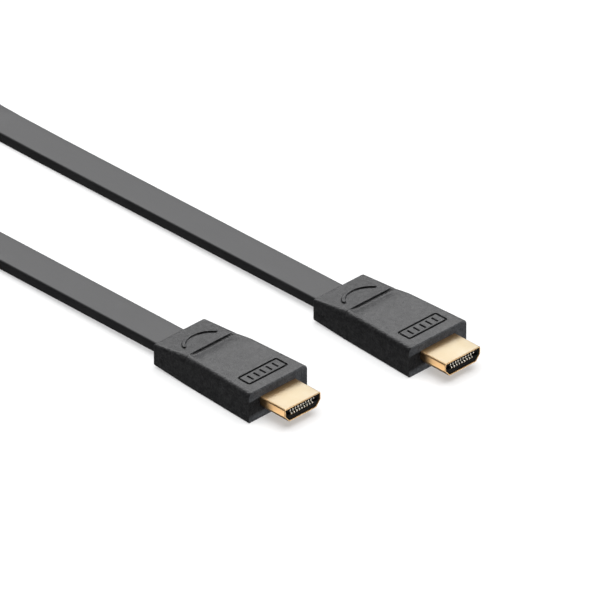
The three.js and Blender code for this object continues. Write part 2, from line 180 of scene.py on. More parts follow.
right_angle = math.pi / 2
s_radius = coil_inner_radius / 2
coil_points = arm_points(coil_turns_a, -right_angle, coil_turns_a, 0)
coil_points += half_circle(coil_x, coil_y + s_radius, s_radius, right_angle, -right_angle)
coil_points.append((coil_x, coil_y, edge_height, 90))
coil_points += half_circle(coil_x, coil_y - s_radius, s_radius, right_angle, 3 * right_angle)
coil_points += arm_points(0, -right_angle, 0, coil_turns_b)

bend_steps = 6
bend_points = []
for i in range(bend_steps, 0, -1):
    angle = right_angle + swing * (i - 0.02) / bend_steps
    height = turning_height + (edge_height - turning_height) * i / bend_steps
    bend_points.append(around(coil_turn_x, lane_b - coil_turn_radius, coil_turn_radius, angle, height))

# Seen along its way from A to B, the second half turns the cord's other face up at plug B.
run_to_b = [(x, y, z, 180 - twist) for x, y, z, twist in reversed(run_from_b)]
route = run_from_a + coil_points + bend_points[1:] + run_to_b
route[0] = (route[0][0] + first_point_gap + cord_rooted / mm, *route[0][1:])
route[-1] = (route[-1][0] + first_point_gap + cord_rooted / mm, *route[-1][1:])


def spline_point(before, start, end, after, share):
    """A point of a centripetal Catmull-Rom curve between start and end."""
    first, middle, last = (
        math.sqrt((b - a).length) for a, b in ((before, start), (start, end), (end, after))
    )
    leaving = (start - before) / first - (end - before) / (first + middle) + (end - start) / middle
    arriving = (end - start) / middle - (after - start) / (middle + last) + (after - end) / last
    return (
        start * (2 * share ** 3 - 3 * share ** 2 + 1)
        + end * (3 * share ** 2 - 2 * share ** 3)
        + leaving * middle * (share ** 3 - 2 * share ** 2 + share)
        + arriving * middle * (share ** 3 - share ** 2)
    )


def rest_height(twist):
    """Height of the cord's middle where the cord touches the table at this twist."""
    return cord_width / 2 * abs(math.sin(twist)) + cord_thickness / 2 * abs(math.cos(twist))


def centre_line(points):
    """Places and twists close together along the route."""
    places = [Vector(point[:3]) * mm for point in points]
    places = [2 * places[0] - places[1]] + places + [2 * places[-1] - places[-2]]
    line = []
    for i in range(len(points) - 1):
        from_twist, to_twist = (math.radians(points[k][3]) for k in (i, i + 1))
        for step in range(steps_between_points):
            share = step / steps_between_points
            place = spline_point(*places[i:i + 4], share)
            twist = from_twist + (to_twist - from_twist) * (3 * share ** 2 - 2 * share ** 3)
            place.z = max(place.z, rest_height(twist))
            line.append((place, twist))
    line.append((places[-2], math.radians(points[-1][3])))
    return line


def rounded_band(width, height, round_edge, corner_steps=6, flat_steps=3):
    """Outline of a band's section, going round it, with flat_steps points on each flat side."""
    outline = []
    corners = [(1, 1), (-1, 1), (-1, -1), (1, -1)]
    for quarter, (side, level) in enumerate(corners):
        middle = Vector((side * (width / 2 - round_edge), level * (height / 2 - round_edge)))
        arc = []
        for i in range(corner_steps + 1):
            angle = (quarter + i / corner_steps) * right_angle
            arc.append(middle + round_edge * Vector((math.cos(angle), math.sin(angle))))
        if outline:
            last = outline[-1]
            outline += [last.lerp(arc[0], (k + 1) / (flat_steps + 1)) for k in range(flat_steps)]
        outline += arc
    last = outline[-1]
    outline += [last.lerp(outline[0], (k + 1) / (flat_steps + 1)) for k in range(flat_steps)]
    return outline


def skin_rings(name, rings, close_ends=True):
    """One mesh through rings of points, with a map that runs round the rings and along them."""
    size = len(rings[0])
    verts = [tuple(point) for ring in rings for point in ring]
    faces = []
    spots = []
    along = [0.0]
    for before, after in zip(rings, rings[1:]):
        along.append(along[-1] + (Vector(after[0]) - Vector(before[0])).length)
    around_ring = [0.0]
    middle_ring = rings[len(rings) // 2]
    for i in range(size):
        edge = Vector(middle_ring[(i + 1) % size]) - Vector(middle_ring[i])
        around_ring.append(around_ring[-1] + edge.length)
    for r in range(len(rings) - 1):
        for i in range(size):
            a = r * size + i
            b = r * size + (i + 1) % size
            faces.append((a, b, b + size, a + size))
            low, high = around_ring[i], around_ring[i + 1]
            spots += [(low, along[r]), (high, along[r]), (high, along[r + 1]), (low, along[r + 1])]
    if close_ends:
        last = (len(rings) - 1) * size
        faces.append(tuple(range(size - 1, -1, -1)))
        faces.append(tuple(range(last, last + size)))
        spots += [(0.0, 0.0)] * (2 * size)
    mesh = bpy.data.meshes.new(name)
    mesh.from_pydata(verts, [], faces)
    layer = mesh.uv_layers.new(name="surface")
    for loop, spot in zip(layer.data, spots):
        loop.uv = spot
    mesh.shade_smooth()
    return mesh


def place_piece(name, mesh, material):
    piece = bpy.data.objects.new(name, mesh)
    if not mesh.materials:
        mesh.materials.append(material)
    bpy.context.scene.collection.objects.link(piece)
    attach(piece, "root")
    return piece


def sweep(line, section):
    """Rings of the section carried along the line, turned by its twist."""
    up = Vector((0, 0, 1))
    rings = []
    for i, (place, twist) in enumerate(line):
        before = line[max(i - 1, 0)][0]
        after = line[min(i + 1, len(line) - 1)][0]
        heading = (after - before).normalized()
        side = up.cross(heading).normalized()
        face = heading.cross(side)
        across = side * math.cos(twist) + face * math.sin(twist)
        over = face * math.cos(twist) - side * math.sin(twist)
        rings.append([place + across * point.x + over * point.y for point in section])
    return rings


def new_material(name):
    material = bpy.data.materials.new(name)
    material.use_nodes = True
    return material, material.node_tree.nodes, material.node_tree.links


def jacket_material():
    """Black PVC, satin, with fine lines drawn along it by the die and a slight unevenness."""
    base = (0.022, 0.022, 0.023, 1)
    worn = (0.027, 0.027, 0.028, 1)
    material, nodes, links = new_material("jacket_pvc")
    shader = nodes["Principled BSDF"]
    shader.inputs["Specular IOR Level"].default_value = 0.095
    uv = nodes.new("ShaderNodeUVMap")
    uv.uv_map = "surface"
    stretch = nodes.new("ShaderNodeMapping")
    stretch.inputs["Scale"].default_value = (6000, 60, 1)
    lines = nodes.new("ShaderNodeTexNoise")
    lines.inputs["Scale"].default_value = 1
    lines.inputs["Detail"].default_value = 3
    links.new(uv.outputs["UV"], stretch.inputs["Vector"])
    links.new(stretch.outputs["Vector"], lines.inputs["Vector"])
    place = nodes.new("ShaderNodeTexCoord")
    cloud = nodes.new("ShaderNodeTexNoise")
    cloud.inputs["Scale"].default_value = 120
    cloud.inputs["Detail"].default_value = 5
    links.new(place.outputs["Object"], cloud.inputs["Vector"])
    grain = nodes.new("ShaderNodeTexNoise")
    grain.inputs["Scale"].default_value = 4500
    grain.inputs["Detail"].default_value = 2
    links.new(place.outputs["Object"], grain.inputs["Vector"])
    tint = nodes.new("ShaderNodeValToRGB")
    tint.color_ramp.elements[0].position = 0.35
    tint.color_ramp.elements[0].color = base
    tint.color_ramp.elements[1].position = 0.65
    tint.color_ramp.elements[1].color = worn
    links.new(cloud.outputs["Fac"], tint.inputs["Fac"])
    links.new(tint.outputs["Color"], shader.inputs["Base Color"])
    rough = nodes.new("ShaderNodeMapRange")
    rough.inputs["To Min"].default_value = 0.44
    rough.inputs["To Max"].default_value = 0.54
    links.new(cloud.outputs["Fac"], rough.inputs["Value"])
    links.new(rough.outputs["Result"], shader.inputs["Roughness"])
    line_bump = nodes.new("ShaderNodeBump")
    line_bump.inputs["Strength"].default_value = 0.12
    line_bump.inputs["Distance"].default_value = 0.02 * mm
    grain_bump = nodes.new("ShaderNodeBump")
    grain_bump.inputs["Strength"].default_value = 0.2
    grain_bump.inputs["Distance"].default_value = 0.02 * mm
    links.new(lines.outputs["Fac"], line_bump.inputs["Height"])
    links.new(grain.outputs["Fac"], grain_bump.inputs["Height"])
    links.new(line_bump.outputs["Normal"], grain_bump.inputs["Normal"])
    links.new(grain_bump.outputs["Normal"], shader.inputs["Normal"])
    return material


cord_line = centre_line(route)
cord_section = rounded_band(cord_width, cord_thickness, cord_edge_round)
cord = place_piece(
    "flat_cord",
    skin_rings("flat_cord", sweep(cord_line, cord_section)),
    jacket_material(),
)
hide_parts("cable_run_a", "cable_run_b", "cable_coil")
black_pieces = [cord]


# The tie is a band of black hook-and-loop tape, wrapped once around all the layers of the coil
# and pressed shut, with its end lying on the outer side.
tie_width = 5 * mm
tie_thickness = 0.7 * mm
tie_corner = 1.6 * mm
tie_tail = 8.5 * mm
tie_tail_lift = 0.98 * tie_thickness
tie_low, tie_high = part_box("cable_tie")


def tape_material():
    """Woven nylon tape with a short nap."""
    material, nodes, links = new_material("tie_tape")
    shader = nodes["Principled BSDF"]
    shader.inputs["Specular IOR Level"].default_value = 0.25
    shader.inputs["Roughness"].default_value = 0.8
    shader.inputs["Sheen Weight"].default_value = 0.25
    shader.inputs["Sheen Roughness"].default_value = 0.4
    uv = nodes.new("ShaderNodeUVMap")
    uv.uv_map = "surface"
    stretch = nodes.new("ShaderNodeMapping")
    stretch.inputs["Scale"].default_value = (2200, 2200, 1)
    links.new(uv.outputs["UV"], stretch.inputs["Vector"])
    weave = nodes.new("ShaderNodeTexChecker")
    weave.inputs["Scale"].default_value = 1
    weave.inputs["Color1"].default_value = (0.020, 0.020, 0.021, 1)
    weave.inputs["Color2"].default_value = (0.045, 0.045, 0.047, 1)
    links.new(stretch.outputs["Vector"], weave.inputs["Vector"])
    links.new(weave.outputs["Color"], shader.inputs["Base Color"])
    bump = nodes.new("ShaderNodeBump")
    bump.inputs["Strength"].default_value = 0.5
    bump.inputs["Distance"].default_value = 0.08 * mm
    links.new(weave.outputs["Fac"], bump.inputs["Height"])
    links.new(bump.outputs["Normal"], shader.inputs["Normal"])
    return material


def tie_loop():
    """The middle line of the tape, around the layers and once more along the outer side."""
    half = tie_thickness / 2
    width = tie_high.x - tie_low.x - tie_thickness
    height = tie_high.z - tie_low.z - tie_thickness
    middle_x = (tie_high.x + tie_low.x) / 2
    middle_z = (tie_high.z + tie_low.z) / 2
    loop = rounded_band(width, height, tie_corner, corner_steps=6, flat_steps=4)
    outer_shoulder = Vector((-width / 2, height / 2 - tie_corner))
    start = min(range(len(loop)), key=lambda i: (loop[i] - outer_shoulder).length)
    loop = loop[start:] + loop[:start]
    line = [Vector((middle_x + point.x, 0, middle_z + point.y)) for point in loop]
    lifted = Vector((-tie_tail_lift, 0, 0))
    first = line[0]
    line.append(first + lifted * 0.6 + Vector((0, 0, half)))
    tail_steps = 5
    for i in range(1, tail_steps + 1):
        line.append(first + lifted - Vector((0, 0, tie_tail * i / tail_steps)))
    return line


def tape_rings(line):
    """The tape's flat section, square to its line, thinned and rounded at the free end."""
    middle_y = (tie_low.y + tie_high.y) / 2
    section = rounded_band(tie_width, tie_thickness, tie_thickness * 0.45, corner_steps=3, flat_steps=5)
    rings = []
    for i, place in enumerate(line):
        before = line[max(i - 1, 0)]
        after = line[min(i + 1, len(line) - 1)]
        heading = (after - before).normalized()
        out = heading.cross(Vector((0, 1, 0)))
        from_end = (len(line) - 1 - i) / 2
        narrow = 1 if from_end >= 1 else 0.72 + 0.28 * from_end
        rings.append([
            Vector((place.x, middle_y, place.z)) + Vector((0, point.x * narrow, 0)) + out * point.y
            for point in section
        ])
    return rings


tie = place_piece("tie_band", skin_rings("tie_band", tape_rings(tie_loop())), tape_material())
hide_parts("cable_tie")
black_pieces.append(tie)


# The hood is the grip of each plug, moulded in one piece of black ABS over the shell and the cord.
# Its front deck has an engraved panel, and falls into a shallow scoop before the step of the ramp.
# A raised arc on the ramp marks the side for the finger. The mould has a fine spark-eroded grain.
deck_height = 9.6 * mm
ramp_crest = 9.3 * mm
ramp_rear_height = 7.7 * mm
ramp_setback = 27 * mm
hood_rear_bottom = 0.9 * mm
hood_crest_width = 20.4 * mm
hood_rear_width = 19.8 * mm
hood_rear_round = 0.9 * mm
hood_front_round = 0.35 * mm
deck_round = 1.5 * mm
bottom_round = 0.8 * mm
crest_side_round = 2.1 * mm
rear_side_round = 0.5 * mm
scoop_length = 6 * mm
scoop_depth = 0.95 * mm
scoop_wall = 0.9 * mm
scoop_rim_rise = 0.85
scoop_rim_steepness = 8
shell_centre_height = 4.8 * mm
shell_rooted = 5 * mm

arc_chord = 12 * mm
arc_rise = 3.4 * mm
arc_width = 1.1 * mm
arc_height = 0.46 * mm
arc_behind_crest = 4.2 * mm

panel_width = 15.2 * mm
panel_depth = 5 * mm
panel_setback = 3.6 * mm
panel_sink = 0.5 * mm
panel_corner = 0.8 * mm
panel_line = 0.52 * mm
panel_bars = 5
panel_bar_pitch = 2.4 * mm
panel_bar_length = 2.4 * mm

dimple_radius = 0.75 * mm
dimple_depth = 0.35 * mm
dimple_setback = 36.4 * mm
dimple_height = 3.7 * mm
wall_blend = 0.16 * mm


def mix(a, b, share):
    return a + (b - a) * share


def blend_over(distance, blend):
    """1 inside a form, 0 outside it, and a smooth wall between, by the distance to its edge."""
    share = min(max(0.5 - distance / blend, 0), 1)
    return share * share * (3 - 2 * share)


def box_distance(x, y, half_x, half_y, corner):
    """Distance from a point to a rectangle with rounded corners, negative inside it."""
    over_x = abs(x) - half_x + corner
    over_y = abs(y) - half_y + corner
    outside = math.hypot(max(over_x, 0), max(over_y, 0))
    return outside + min(max(over_x, over_y), 0) - corner


def panel_relief(back, y):
    """How deep the panel is engraved at this distance behind the front face."""
    x = back - panel_setback - panel_depth / 2
    outline = box_distance(x, y, panel_depth / 2, panel_width / 2, panel_corner)
    if outline > wall_blend:
        return 0
    frame_line = abs(outline + panel_line / 2) - panel_line / 2
    nearest = min(max(round(y / panel_bar_pitch + (panel_bars - 1) / 2), 0), panel_bars - 1)
    bar_y = (nearest - (panel_bars - 1) / 2) * panel_bar_pitch
    bar = box_distance(x, y - bar_y, panel_bar_length / 2, panel_line / 2, panel_line * 0.3)
    return -panel_sink * blend_over(min(frame_line, bar), wall_blend)


def arc_relief(back, y):
    """How high the raised arc stands."""
    radius = (arc_chord ** 2 / 4 + arc_rise ** 2) / (2 * arc_rise)
    half_angle = math.asin(arc_chord / 2 / radius)
    x = back - ramp_setback - arc_behind_crest + radius * math.cos(half_angle)
    angle = math.atan2(y, x)
    if abs(angle) <= half_angle:
        distance = abs(math.hypot(x, y) - radius)
    else:
        end_x = radius * math.cos(half_angle)
        distance = math.hypot(x - end_x, abs(y) - radius * math.sin(half_angle))
    return arc_height * blend_over(distance - arc_width / 2, 1.6 * wall_blend)


def dimple_relief(back, height):
    distance = math.hypot(back - dimple_setback, height - dimple_height)
    if distance > dimple_radius:
        return 0
    return dimple_depth * math.sqrt(1 - (distance / dimple_radius) ** 2)


def hood_profile(back):
    """Half width, bottom, top, and the roundings of the top and bottom edges."""
    if back > ramp_setback:
        share = (back - ramp_setback) / (hood_length - ramp_setback)
        return (
            mix(hood_crest_width / 2, hood_rear_width / 2, share),
            mix(0, hood_rear_bottom, share),
            mix(ramp_crest, ramp_rear_height, share),
            mix(crest_side_round, rear_side_round, share),
            mix(bottom_round, rear_side_round, share),
        )
    half = mix(hood_half_width, hood_crest_width / 2, back / ramp_setback)
    ahead = ramp_setback - back
    if ahead < scoop_wall:
        share = ahead / scoop_wall
        low = deck_height - scoop_depth
        top = mix(ramp_crest, low, math.sqrt(max(1 - (1 - share) ** 2, 0)))
    elif ahead < scoop_length:
        share = (ahead - scoop_wall) / (scoop_length - scoop_wall)
        top = deck_height - scoop_depth * (1 - share) ** 2
    else:
        top = deck_height
    top_round = mix(crest_side_round, deck_round, min(ahead / scoop_length, 1))
    return half, 0, top, top_round, bottom_round


def end_inset(distance, round_edge):
    """How far a rounded end draws in at this distance from the end."""
    if distance >= round_edge:
        return 0
    return round_edge - math.sqrt(max(round_edge ** 2 - (round_edge - distance) ** 2, 0))


def spread(low, high, step):
    count = max(1, round((high - low) / step))
    return [mix(low, high, i / count) for i in range(count)]


def hood_stations():
    """Distances behind the front face, close together wherever there is detail."""
    fine = 0.13 * mm
    panel_fine = 0.09 * mm
    margin = 0.2 * mm
    panel_start = panel_setback - margin
    panel_end = panel_setback + panel_depth + margin
    stations = [hood_front_round * (1 - math.cos(i / 4 * right_angle)) for i in range(4)]
    stations += spread(hood_front_round, panel_start, 0.8 * mm)
    stations += spread(panel_start, panel_end, panel_fine)
    stations += spread(panel_end, ramp_setback - scoop_length, 1.5 * mm)
    stations += spread(ramp_setback - scoop_length, ramp_setback - scoop_wall, 0.6 * mm)
    stations += [ramp_setback - scoop_wall * math.cos(i / 8 * right_angle) ** 2 for i in range(8)]
    stations += [ramp_setback - 0.01 * mm]
    arc_front = ramp_setback + arc_behind_crest - arc_width
    stations += spread(ramp_setback + 0.02 * mm, arc_front, 0.5 * mm)
    stations += spread(arc_front, arc_front + arc_rise + 2 * arc_width, fine)
    stations += spread(arc_front + arc_rise + 2 * arc_width, hood_length - hood_rear_round, fine)
    rear_steps = 6
    for i in range(rear_steps + 1):
        stations.append(hood_length - hood_rear_round * (1 - math.sin(i / rear_steps * right_angle)))
    return stations


def hood_ring(back):
    """One ring of the hood around the plug, with the relief of its top and sides.

    The scoop is a dish: its rim falls evenly to the step, and only its middle dips below the rim.
    """
    half, bottom, top, top_round, low_round = hood_profile(back)
    inset = end_inset(back, hood_front_round) + end_inset(hood_length - back, hood_rear_round)
    ahead = min(max(ramp_setback - back, 0), scoop_length)
    rim_line = mix(ramp_crest, deck_height, ahead / scoop_length)
    dish = scoop_rim_rise * max(rim_line - top, 0) if ahead else 0
    rim = top + dish - inset
    top -= inset
    ring = []
    corner_steps = 6

    def corner(y_side, low, round_edge, start):
        middle_y = y_side * (half - round_edge)
        middle_z = (bottom + round_edge) if low else (rim - round_edge)
        for i in range(corner_steps + 1):
            angle = start + i / corner_steps * right_angle
            y = middle_y + round_edge * math.cos(angle)
            z = middle_z + round_edge * math.sin(angle)
            ring.append([y - y_side * inset, max(z, bottom + inset)])

    corner(1, False, top_round, 0)
    top_points = 170
    flat = half - top_round - inset
    for i in range(1, top_points):
        y = mix(flat, -flat, i / top_points)
        relief = panel_relief(back, y) + arc_relief(back, y) + dish * (y / flat) ** scoop_rim_steepness
        ring.append([y, top + relief])
    corner(-1, False, top_round, right_angle)
    side_levels = [0.86, 0.72, 0.62, 0.54, 0.49, 0.44, 0.39, 0.34, 0.29, 0.24, 0.19, 0.12]
    high = rim - top_round
    low = bottom + low_round
    for level in side_levels:
        z = mix(low, high, level)
        ring.append([-half + inset + dimple_relief(back, z), z])
    corner(-1, True, low_round, 2 * right_angle)
    bottom_points = 40
    foot = half - low_round - inset
    for i in range(1, bottom_points):
        ring.append([mix(-foot, foot, i / bottom_points), bottom + inset])
    corner(1, True, low_round, 3 * right_angle)
    for level in reversed(side_levels):
        z = mix(low, high, level)
        ring.append([half - inset - dimple_relief(back, z), z])
    return [Vector((hood_front - back, hood_middle + y, z)) for y, z in ring]


# Outline of the shell across the plug: a wide top with round corners, and a chamfered foot.
shell_width = 13.9 * mm
shell_height = 4.45 * mm
shell_corner = 0.5 * mm
shell_foot_round = 0.45 * mm
shell_chamfer_across = 1.7 * mm
shell_chamfer_up = 2.0 * mm


def rounded_polygon(corners, rounds, steps):
    """A closed outline through the corners, each rounded by an arc, with points along the sides."""
    outline = []
    count = len(corners)
    for i in range(count):
        here = corners[i]
        back = (corners[i - 1] - here).normalized()
        ahead = (corners[(i + 1) % count] - here).normalized()
        half_turn = math.acos(max(min(back.dot(ahead), 1), -1)) / 2
        reach = rounds[i] / math.tan(half_turn)
        centre = here + (back + ahead).normalized() * (rounds[i] / math.sin(half_turn))
        start = here + back * reach - centre
        turn = math.pi - 2 * half_turn
        for k in range(steps + 1):
            angle = turn * k / steps
            spun = Vector((
                start.x * math.cos(angle) - start.y * math.sin(angle),
                start.x * math.sin(angle) + start.y * math.cos(angle),
            ))
            outline.append(centre + spun)
    return outline


def shell_outline(inset, steps=5):
    """Counter-clockwise from the right foot, drawn smaller by inset, around the shell's middle."""
    half = shell_width / 2 - inset
    level = shell_height / 2 - inset
    slope = math.atan2(shell_chamfer_up, shell_chamfer_across)
    foot = shell_width / 2 - shell_chamfer_across - inset * math.tan(slope / 2)
    knee = -shell_height / 2 + shell_chamfer_up + inset * math.tan((right_angle - slope) / 2)
    corners = [
        Vector((foot, -level)),
        Vector((half, knee)),
        Vector((half, level)),
        Vector((-half, level)),
        Vector((-half, knee)),
        Vector((-foot, -level)),
    ]
    tight = max(1 - inset / shell_corner, 0.3)
    feet = [shell_foot_round, shell_foot_round]
    rounds = [*feet, shell_corner, shell_corner, *feet]
    return rounded_polygon(corners, [r * tight for r in rounds], steps)


def outline_towards(outline, spot):
    """Where a ray from the middle towards the spot leaves the outline."""
    ray = spot.normalized()
    count = len(outline)
    for i in range(count):
        a = outline[i]
        edge = outline[(i + 1) % count] - a
        cross = ray.x * edge.y - ray.y * edge.x
        if abs(cross) < 1e-12:
            continue
        reach = (a.x * edge.y - a.y * edge.x) / cross
        share = (a.x * ray.y - a.y * ray.x) / cross
        if reach > 0 and -1e-9 <= share <= 1 + 1e-9:
            return ray * reach
    return spot


def hood_rings():
    """All rings of the hood, from the middle of its rear face to the floor of its socket."""
    body = [hood_ring(back) for back in hood_stations()]
    body.reverse()
    rear = body[0]
    rear_middle = Vector((rear[0].x, hood_middle, cord_exit_height))
    rings = [[rear_middle.lerp(point, share) for point in rear] for share in (0.02, 0.3, 0.6, 0.85, 0.97)]
    rings += body
    front = body[-1]
    centre = Vector((0, shell_centre_height))
    mouth = shell_outline(-0.04 * mm)
    aimed = []
    for point in front:
        spot = outline_towards(mouth, Vector((point.y - hood_middle, point.z)) - centre)
        aimed.append(Vector((hood_front, hood_middle + spot.x, shell_centre_height + spot.y)))
    for share in (0.06, 0.2, 0.5, 0.8, 0.95, 1):
        rings.append([a.lerp(b, share) for a, b in zip(front, aimed)])
    for depth in (0.1 * mm, 1 * mm, shell_rooted):
        rings.append([point - Vector((depth, 0, 0)) for point in aimed])
    floor_middle = Vector((hood_front - shell_rooted, hood_middle, shell_centre_height))
    for share in (0.5, 0.98):
        rings.append([(point - Vector((shell_rooted, 0, 0))).lerp(floor_middle, share) for point in aimed])
    return rings


def hood_material():
    """Black ABS with the fine grain of its mould and a faint cloudiness."""
    material, nodes, links = new_material("hood_abs")
    shader = nodes["Principled BSDF"]
    shader.inputs["Specular IOR Level"].default_value = 0.068
    place = nodes.new("ShaderNodeTexCoord")
    cloud = nodes.new("ShaderNodeTexNoise")
    cloud.inputs["Scale"].default_value = 700
    cloud.inputs["Detail"].default_value = 6
    links.new(place.outputs["Object"], cloud.inputs["Vector"])
    speckle = nodes.new("ShaderNodeTexNoise")
    speckle.inputs["Scale"].default_value = 2000
    speckle.inputs["Detail"].default_value = 1
    links.new(place.outputs["Object"], speckle.inputs["Vector"])
    both = nodes.new("ShaderNodeMath")
    both.operation = "MULTIPLY"
    links.new(cloud.outputs["Fac"], both.inputs[0])
    links.new(speckle.outputs["Fac"], both.inputs[1])
    tint = nodes.new("ShaderNodeValToRGB")
    tint.color_ramp.elements[0].position = 0.15
    tint.color_ramp.elements[0].color = (0.021, 0.021, 0.022, 1)
    tint.color_ramp.elements[1].position = 0.38
    tint.color_ramp.elements[1].color = (0.042, 0.042, 0.043, 1)
    links.new(both.outputs["Value"], tint.inputs["Fac"])
    links.new(tint.outputs["Color"], shader.inputs["Base Color"])
    rough = nodes.new("ShaderNodeMapRange")
    rough.inputs["From Min"].default_value = 0.3
    rough.inputs["From Max"].default_value = 0.7
    rough.inputs["To Min"].default_value = 0.36
    rough.inputs["To Max"].default_value = 0.5
    links.new(speckle.outputs["Fac"], rough.inputs["Value"])
    links.new(rough.outputs["Result"], shader.inputs["Roughness"])
    bump = nodes.new("ShaderNodeBump")
    bump.inputs["Strength"].default_value = 1
    bump.inputs["Distance"].default_value = 0.12 * mm
    links.new(speckle.outputs["Fac"], bump.inputs["Height"])
    links.new(bump.outputs["Normal"], shader.inputs["Normal"])
    return material


abs_plastic = hood_material()
for plug in ("plug_a", "plug_b"):
    hood_low, hood_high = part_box(plug + "_hood")
    hood_front = hood_high.x
    hood_length = hood_high.x - hood_low.x
    hood_middle = (hood_low.y + hood_high.y) / 2
    hood_half_width = (hood_high.y - hood_low.y) / 2
    hood = place_piece(plug + "_grip", skin_rings(plug + "_grip", hood_rings()), abs_plastic)
    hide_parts(plug + "_hood")
    black_pieces.append(hood)


# The shell is stamped from brass sheet, folded to a tube with its wide side up, and gold plated.
# Its rear end is held in the hood, and its front lip is rolled slightly smooth.
shell_wall = 0.35 * mm
lip_round = 0.12 * mm


def gold_material():
    """Gold plate over stamped brass, satin, with the faint lines of the sheet's rolling."""
    material, nodes, links = new_material("shell_gold")
    shader = nodes["Principled BSDF"]
    shader.inputs["Metallic"].default_value = 1
    place = nodes.new("ShaderNodeTexCoord")
    stretch = nodes.new("ShaderNodeMapping")
    stretch.inputs["Scale"].default_value = (300, 4000, 4000)
    lines = nodes.new("ShaderNodeTexNoise")
    lines.inputs["Scale"].default_value = 1
    lines.inputs["Detail"].default_value = 4
    links.new(place.outputs["Object"], stretch.inputs["Vector"])
    links.new(stretch.outputs["Vector"], lines.inputs["Vector"])
    cloud = nodes.new("ShaderNodeTexNoise")
    cloud.inputs["Scale"].default_value = 260
    cloud.inputs["Detail"].default_value = 4
    links.new(place.outputs["Object"], cloud.inputs["Vector"])
    tint = nodes.new("ShaderNodeValToRGB")
    tint.color_ramp.elements[0].position = 0.3
    tint.color_ramp.elements[0].color = (0.91, 0.58, 0.28, 1)
    tint.color_ramp.elements[1].position = 0.7
    tint.color_ramp.elements[1].color = (0.95, 0.63, 0.33, 1)
    links.new(cloud.outputs["Fac"], tint.inputs["Fac"])
    links.new(tint.outputs["Color"], shader.inputs["Base Color"])
    rough = nodes.new("ShaderNodeMapRange")
    rough.inputs["To Min"].default_value = 0.3
    rough.inputs["To Max"].default_value = 0.37
    links.new(lines.outputs["Fac"], rough.inputs["Value"])
    links.new(rough.outputs["Result"], shader.inputs["Roughness"])
    bump = nodes.new("ShaderNodeBump")
    bump.inputs["Strength"].default_value = 0.04
    bump.inputs["Distance"].default_value = 0.01 * mm
    links.new(lines.outputs["Fac"], bump.inputs["Height"])
    links.new(bump.outputs["Normal"], shader.inputs["Normal"])
    return material


def shell_mesh(name, low, high):
    """A closed skin: out along the outside, over the lip, back along the inside, and shut."""
    outer_stops = [low.x, low.x + 0.5 * mm]
    outer_stops += [mix(low.x + 0.5 * mm, high.x - 0.4 * mm, i / 8) for i in range(1, 9)]
    rings = [(x, 0) for x in outer_stops]
    for i in range(5):
        angle = i / 4 * right_angle
        rings.append((high.x - lip_round * (1 - math.sin(angle)), lip_round * (1 - math.cos(angle))))
    for i in range(5):
        angle = i / 4 * right_angle
        inset = shell_wall - lip_round * (1 - math.sin(angle))
        rings.append((high.x - lip_round * (1 - math.cos(angle)), inset))
    rings += [(x, shell_wall) for x in reversed(outer_stops)]
    size = len(shell_outline(0))
    middle_y = (low.y + high.y) / 2
    verts = []
    for x, inset in rings:
        for point in shell_outline(inset):
            verts.append((x, middle_y + point.x, shell_centre_height + point.y))
    faces = []
    count = len(rings)
    for r in range(count):
        after = (r + 1) % count
        for i in range(size):
            k = (i + 1) % size
            faces.append((r * size + i, r * size + k, after * size + k, after * size + i))
    mesh = bpy.data.meshes.new(name)
    mesh.from_pydata(verts, [], faces)
    mesh.shade_smooth()
    return mesh


gold = gold_material()
bright_pieces = []
for plug in ("plug_a", "plug_b"):
    shell = place_piece(
        plug + "_sleeve", shell_mesh(plug + "_sleeve", *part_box(plug + "_shell")), gold
    )
    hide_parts(plug + "_shell")
    bright_pieces.append(shell)


# The insulator is the black LCP block inside the shell. Its slot takes the tongue of the socket,
# and a channel for each contact runs along the slot's roof and floor.
def insulator_material():
    """Glass-filled LCP, dead black, with a fine uneven sheen."""
    material, nodes, links = new_material("insulator_lcp")
    shader = nodes["Principled BSDF"]
    shader.inputs["Specular IOR Level"].default_value = 0.3
    place = nodes.new("ShaderNodeTexCoord")
    fibre = nodes.new("ShaderNodeTexNoise")
    fibre.inputs["Scale"].default_value = 3000
    fibre.inputs["Detail"].default_value = 3
    links.new(place.outputs["Object"], fibre.inputs["Vector"])
    tint = nodes.new("ShaderNodeValToRGB")
    tint.color_ramp.elements[0].color = (0.008, 0.008, 0.008, 1)
    tint.color_ramp.elements[1].color = (0.022, 0.021, 0.020, 1)
    links.new(fibre.outputs["Fac"], tint.inputs["Fac"])
    links.new(tint.outputs["Color"], shader.inputs["Base Color"])
    rough = nodes.new("ShaderNodeMapRange")
    rough.inputs["To Min"].default_value = 0.5
    rough.inputs["To Max"].default_value = 0.75
    links.new(fibre.outputs["Fac"], rough.inputs["Value"])
    links.new(rough.outputs["Result"], shader.inputs["Roughness"])
    bump = nodes.new("ShaderNodeBump")
    bump.inputs["Strength"].default_value = 0.3
    bump.inputs["Distance"].default_value = 0.02 * mm
    links.new(fibre.outputs["Fac"], bump.inputs["Height"])
    links.new(bump.outputs["Normal"], shader.inputs["Normal"])
    return material


lcp = insulator_material()
for plug in ("plug_a", "plug_b"):
    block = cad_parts[plug + "_insulator"]
    block.data.materials.clear()
    block.data.materials.append(lcp)


# Each plug has nineteen contacts, stamped strips of plated bronze a millimetre apart:
# ten along the slot's roof and nine along its floor, half a step aside.
contact_pitch = 1 * mm
upper_contacts = 10
lower_contacts = 9
contact_width = 0.45 * mm
contact_edge = 0.06 * mm
contact_hump = 0.3 * mm
hump_setback = 0.95 * mm
hump_length = 1.3 * mm
nose_round = 0.14 * mm


